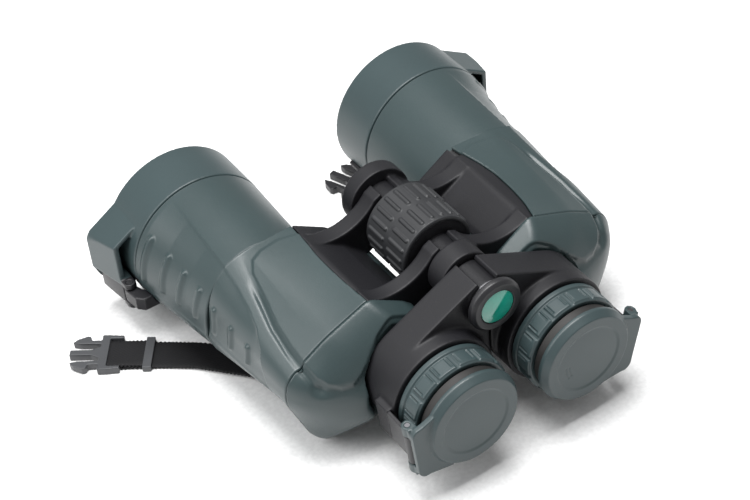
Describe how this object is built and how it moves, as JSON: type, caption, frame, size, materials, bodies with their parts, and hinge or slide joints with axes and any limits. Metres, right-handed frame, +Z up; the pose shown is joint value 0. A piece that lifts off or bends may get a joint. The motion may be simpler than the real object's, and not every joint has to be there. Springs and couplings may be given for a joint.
{
  "type": "porro prism binoculars",
  "caption": "Folding Porro-prism binoculars in green rubber armour, with a centre focus wheel, dioptre ring, hinged lens caps and strap stubs with side-release buckles.",
  "frame": {"origin": "on the table, under the hinge axis, midway along the binoculars without the strap stubs", "axes": "+Y out of the objectives, +X the user's right, +Z up"},
  "size_m": [0.2343, 0.1949, 0.0789],
  "materials": {
    "armour_green": "matte, fine grain",
    "cap_green": "matte moulded",
    "black_casting": "fine textured black lacquer",
    "black_plastic": "satin moulded",
    "tube_black": "satin black anodised",
    "focus_rubber": "matte moulded",
    "eyecup_rubber": "matte",
    "casting_alloy": "as cast",
    "coated_glass": "coated, polished",
    "prism_glass": "polished",
    "steel": "turned",
    "brass": "turned",
    "chrome": "polished",
    "emblem_green": "clear domed resin over green",
    "webbing_black": "coarse woven",
    "buckle_plastic": "moulded acetal"
  },
  "bodies": {
    "left_barrel": {"left_objective_tube": "tube_black", "left_barrel_armour": "armour_green", "left_objective_doublet": "coated_glass", "left_objective_cell": "tube_black", "left_prism_housing": "casting_alloy", "left_housing_armour": "armour_green", "left_prisms": "prism_glass", "left_prism_shelf": "casting_alloy", "left_rear_cover": "armour_green", "left_bridge_frame": "black_casting", "left_cap_bracket": "black_plastic", "left_cap_pin": "steel", "left_strap_lug": "black_plastic", "front_hinge_tube": "tube_black", "rear_hinge_tube": "tube_black", "tripod_insert": "brass"},
    "right_barrel": {"right_objective_tube": "tube_black", "right_barrel_armour": "armour_green", "right_objective_doublet": "coated_glass", "right_objective_cell": "tube_black", "right_prism_housing": "casting_alloy", "right_housing_armour": "armour_green", "right_prisms": "prism_glass", "right_prism_shelf": "casting_alloy", "right_rear_cover": "armour_green", "right_bridge_frame": "black_casting", "right_cap_bracket": "black_plastic", "right_cap_pin": "steel", "right_strap_lug": "black_plastic"},
    "focus_wheel": {"focus_hub": "tube_black", "focus_grip": "focus_rubber"},
    "focus_bridge": {"left_ocular_arm": "black_casting", "bridge_hub": "tube_black", "spindle": "steel", "chrome_collar": "chrome", "emblem_ring": "black_plastic", "emblem_dome": "emblem_green", "left_eyepiece_tube": "tube_black", "left_eyepiece_lenses": "coated_glass", "left_eyepiece_ring": "cap_green", "left_eyecup": "eyecup_rubber", "left_eye_cap_arm": "black_plastic", "left_eye_cap_pin": "steel"},
    "right_ocular": {"right_ocular_arm": "black_casting", "right_eye_cap_arm": "black_plastic", "right_eye_cap_pin": "steel"},
    "dioptre_ring": {"right_eyepiece_ring": "cap_green"},
    "right_eyepiece": {"right_eyepiece_tube": "tube_black", "right_eyepiece_lenses": "coated_glass", "right_eyecup": "eyecup_rubber"},
    "left_eye_cap": {"left_eye_cap": "cap_green"},
    "right_eye_cap": {"right_eye_cap": "cap_green"},
    "left_objective_cap": {"left_objective_cap": "cap_green"},
    "right_objective_cap": {"right_objective_cap": "cap_green"},
    "left_strap": {"left_webbing": "webbing_black", "left_keeper": "buckle_plastic", "left_buckle": "buckle_plastic"},
    "right_strap": {"right_webbing": "webbing_black", "right_keeper": "buckle_plastic", "right_buckle": "buckle_plastic"}
  },
  "joints": [
    {"name": "fold", "type": "hinge", "parent": "left_barrel", "child": "right_barrel", "pos_m": [0, 0, 0.0616], "axis": [0, -1, 0], "range_deg": [0, 40]},
    {"name": "focus_turn", "type": "hinge", "parent": "left_barrel", "child": "focus_wheel", "pos_m": [0, 0, 0.0616], "axis": [0, -1, 0], "range_deg": [0, 300]},
    {"name": "focus_slide", "type": "slide", "parent": "left_barrel", "child": "focus_bridge", "axis": [0, -1, 0], "range_m": [0, 0.006]},
    {"name": "ocular_fold", "type": "hinge", "parent": "focus_bridge", "child": "right_ocular", "pos_m": [0, 0, 0.0616], "axis": [0, -1, 0], "range_deg": [0, 40]},
    {"name": "dioptre_turn", "type": "hinge", "parent": "right_ocular", "child": "dioptre_ring", "pos_m": [0.0277, 0, 0.033], "axis": [0, -1, 0], "range_deg": [-60, 60]},
    {"name": "dioptre_slide", "type": "slide", "parent": "right_ocular", "child": "right_eyepiece", "axis": [0, -1, 0], "range_m": [-0.0005, 0.0005]},
    {"name": "left_objective_cap_swing", "type": "hinge", "parent": "left_barrel", "child": "left_objective_cap", "pos_m": [-0.0955, 0.0697, 0.02], "axis": [0, 0, 1], "range_deg": [0, 120]},
    {"name": "left_eye_cap_swing", "type": "hinge", "parent": "focus_bridge", "child": "left_eye_cap", "pos_m": [-0.0534, -0.0843, 0.03075], "axis": [0.0872, 0, -0.9962], "range_deg": [0, 140]},
    {"name": "left_strap_swing", "type": "hinge", "parent": "left_barrel", "child": "left_strap", "pos_m": [-0.066, 0.0142, 0.001], "axis": [0, 0, 1], "range_deg": [-20, 25]},
    {"name": "right_objective_cap_swing", "type": "hinge", "parent": "right_barrel", "child": "right_objective_cap", "pos_m": [0.0955, 0.0697, 0.02], "axis": [0, 0, -1], "range_deg": [0, 120]},
    {"name": "right_eye_cap_swing", "type": "hinge", "parent": "right_ocular", "child": "right_eye_cap", "pos_m": [0.05273, -0.0843, 0.02676], "axis": [0.2419, 0, 0.9703], "range_deg": [0, 140]},
    {"name": "right_strap_swing", "type": "hinge", "parent": "right_barrel", "child": "right_strap", "pos_m": [0.066, 0.0142, 0.001], "axis": [0, 0, 1], "range_deg": [0, 12]}
  ],
  "couplings": [
    {"joint": "focus_slide", "follows": "focus_turn", "m_per_rad": 0.0011459},
    {"joint": "ocular_fold", "follows": "fold", "ratio": 1},
    {"joint": "dioptre_slide", "follows": "dioptre_turn", "m_per_rad": 0.00047699}
  ]
}
